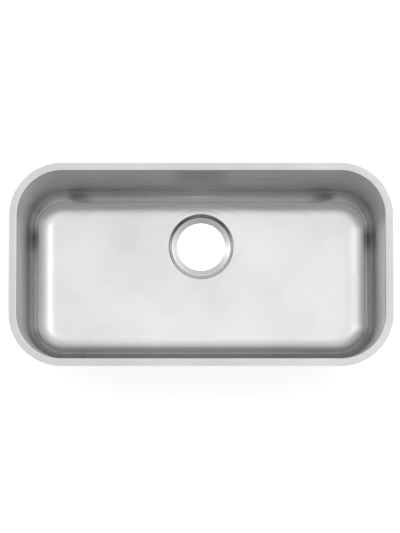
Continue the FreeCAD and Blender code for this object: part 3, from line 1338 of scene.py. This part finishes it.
@dataclass
class Studio:
    """The floor, the light and the camera."""

    distance: float = 8.0
    tilt: float = math.radians(6.9)
    lens: float = 292.7
    aim: tuple[float, float, float] = (-2.0 * MM, -4.6 * MM, 0.0)
    overhead: SoftLight = SoftLight(0.78, 0.13, 0.0, 1.09, 1.30, 0.46)
    key: SoftLight = SoftLight(2.40, 0.18, 0.18, 0.15, 0.15, 0.15)
    strip: SoftLight = SoftLight(1.25, -0.42, 0.21, 0.61, 0.15, 0.15)
    surround: float = 0.44
    horizon: float = 0.25
    horizon_band: float = 0.35
    ceiling_edge: float = 0.1
    backdrop: float = 0.95
    floor_half: float = 12.0
    floor_gap: float = 0.2 * MM
    floor_shade: float = 0.85
    floor_light: float = 0.60
    # the floor's painted bright spot under the drain's hole, and the painted shade and painted
    # glint round it
    spot_light: float = 0.80
    spot_from: float = 5 * MM
    spot_to: float = -1 * MM
    hidden_from: float = 30 * MM
    hidden_shade: float = 0.60
    hidden_light: float = 0.45
    glint: float = 0.60
    glint_from: float = 0.75
    glint_to: float = 0.95

    def build(self, hole: tuple[float, float]) -> None:
        """Builds it all.

        Args:
            hole: The y and the radius of the hole through which the floor shows.
        """
        self.camera()
        self.world()
        self.floor(*hole)

    def camera(self) -> None:
        """Puts the camera in front of the sink, nearly straight above it."""
        data = bpy.data.cameras.new("camera")
        data.sensor_width = 36.0
        data.lens = self.lens
        data.clip_start = 0.1
        data.clip_end = 100.0
        eye = bpy.data.objects.new("camera", data)
        back = Vector((0.0, -math.sin(self.tilt), math.cos(self.tilt)))
        eye.location = Vector(self.aim) + back * self.distance
        eye.rotation_euler = (self.tilt, 0.0, 0.0)
        bpy.context.scene.collection.objects.link(eye)
        bpy.context.scene.camera = eye

    def world(self) -> None:
        """Lights the sink from the soft lights in the ceiling of a dimmer room."""
        world = bpy.data.worlds.new("studio")
        world.use_nodes = True
        graph = Graph(world.node_tree)
        graph.tree.nodes.clear()
        direction = graph.add("ShaderNodeTexCoord").outputs["Generated"]
        x, y, up = graph.parts(direction)
        high = graph.ramp(up, 0.0, self.horizon_band)
        light = self.horizon + high * (self.surround - self.horizon)
        lamps = self.overhead.glow(graph, x, y)
        lamps = lamps + self.key.glow(graph, x, y) + self.strip.glow(graph, x, y)
        light = light + lamps * graph.ramp(up, 0.0, self.ceiling_edge)
        seen = graph.field(graph.add("ShaderNodeLightPath").outputs["Is Camera Ray"])
        light = light + seen * (self.backdrop - light)
        background = graph.add("ShaderNodeBackground", {"Strength": light})
        end = graph.add("ShaderNodeOutputWorld")
        graph.tree.links.new(background.outputs[0], end.inputs[0])
        background.inputs["Color"].default_value = (1.0, 1.0, 1.0, 1.0)
        bpy.context.scene.world = world
        bpy.context.scene.view_settings.view_transform = "Standard"

    def floor(self, hole_y: float, hole_radius: float) -> None:
        """Lays the pale, glowing floor that the sink stands on. Under the drain's hole it has a
        painted bright spot that only the camera sees; for all other rays the floor under and round
        the hole has a painted shade and a painted glint for rays that come in low.

        Args:
            hole_y: Where the drain's axis is.
            hole_radius: How wide the spot is that shows through the hole.
        """
        low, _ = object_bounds()
        half = self.floor_half
        mesh = bpy.data.meshes.new("floor")
        corners = [(-half, -half, 0), (half, -half, 0), (half, half, 0), (-half, half, 0)]
        mesh.from_pydata(corners, [], [(0, 1, 2, 3)])
        mesh.transform(Matrix.Translation((0.0, 0.0, low.z - self.floor_gap)))
        floor = bpy.data.objects.new("floor", mesh)
        bpy.context.scene.collection.objects.link(floor)
        look = Surface("studio_floor")
        x, y, _ = look.parts(look.place)
        near = look.length(x, y - hole_y)
        seen = look.field(look.add("ShaderNodeLightPath").outputs["Is Camera Ray"])
        # painted light: a bright spot under the hole that only the camera sees
        spot_edge = hole_radius + self.spot_from
        spot = look.ramp(near, spot_edge, hole_radius + self.spot_to) * seen
        # painted shade: for all other rays the floor under and round the hole is darker and glows
        # less
        hidden = look.ramp(near, hole_radius + self.hidden_from, spot_edge) * (1.0 - seen)
        # painted glint: there it glows more for rays that come in low
        grazed = look.field(look.add("ShaderNodeLayerWeight").outputs["Facing"])
        glint = look.ramp(grazed, self.glint_from, self.glint_to) * self.glint
        lit = self.floor_light + hidden * (glint - self.hidden_light) + spot * self.spot_light
        look.colour(self.floor_shade - hidden * self.hidden_shade, (1.0, 1.0, 1.0))
        look.constants(Roughness=0.9, Specular_IOR_Level=0.1, Emission_Strength=1.0)
        glow = look.add("ShaderNodeCombineColor", {0: lit, 1: lit, 2: lit})
        look.feed(look.shader.inputs["Emission Color"], glow.outputs[0])
        clear = look.add("ShaderNodeBsdfTransparent")
        below = look.add("ShaderNodeNewGeometry").outputs["Backfacing"]
        both = {0: below, 1: look.shader.outputs[0], 2: clear.outputs[0]}
        either = look.add("ShaderNodeMixShader", both)
        look.tree.links.new(either.outputs[0], look.end.inputs["Surface"])
        mesh.materials.append(look.material)
        floor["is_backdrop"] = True


def corners() -> list[list[float]]:
    """The lowest and the highest corner of what is shown."""
    return [list(corner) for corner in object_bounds()]


def attach(piece: bpy.types.Object, node: str) -> None:
    """Ties a finished piece to the frame.

    Args:
        piece: The piece.
        node: The frame's node that it stands for.
    """
    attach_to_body(piece, "root")
    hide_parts(node)
    LOG.info("%s stands for %s: %d faces", piece.name, node, len(piece.data.polygons))


def main() -> None:
    """Builds the sink and the studio."""
    logging.basicConfig(level=logging.INFO, format="%(message)s")
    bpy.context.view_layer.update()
    brushing = brushing_group()
    mottling = mottling_group()
    bowl = PressedBowl()
    Studio().build((bowl.drain_y, bowl.hole))
    inside = BrushedSteel().material(brushing, mottling, bowl.drain_y)
    back = BareSteel().material(brushing, mottling)
    attach(bowl.build(inside, back), "bowl")
    coat = FloorCoat(bowl).build(DeadeningCoat().material(mottling))
    attach(coat, "floor_coat")
    pads = DeadeningPads(bowl).build(PadRubber().material(mottling))
    for node, pad in pads.items():
        attach(pad, node)


if __name__ == "__main__":
    main()
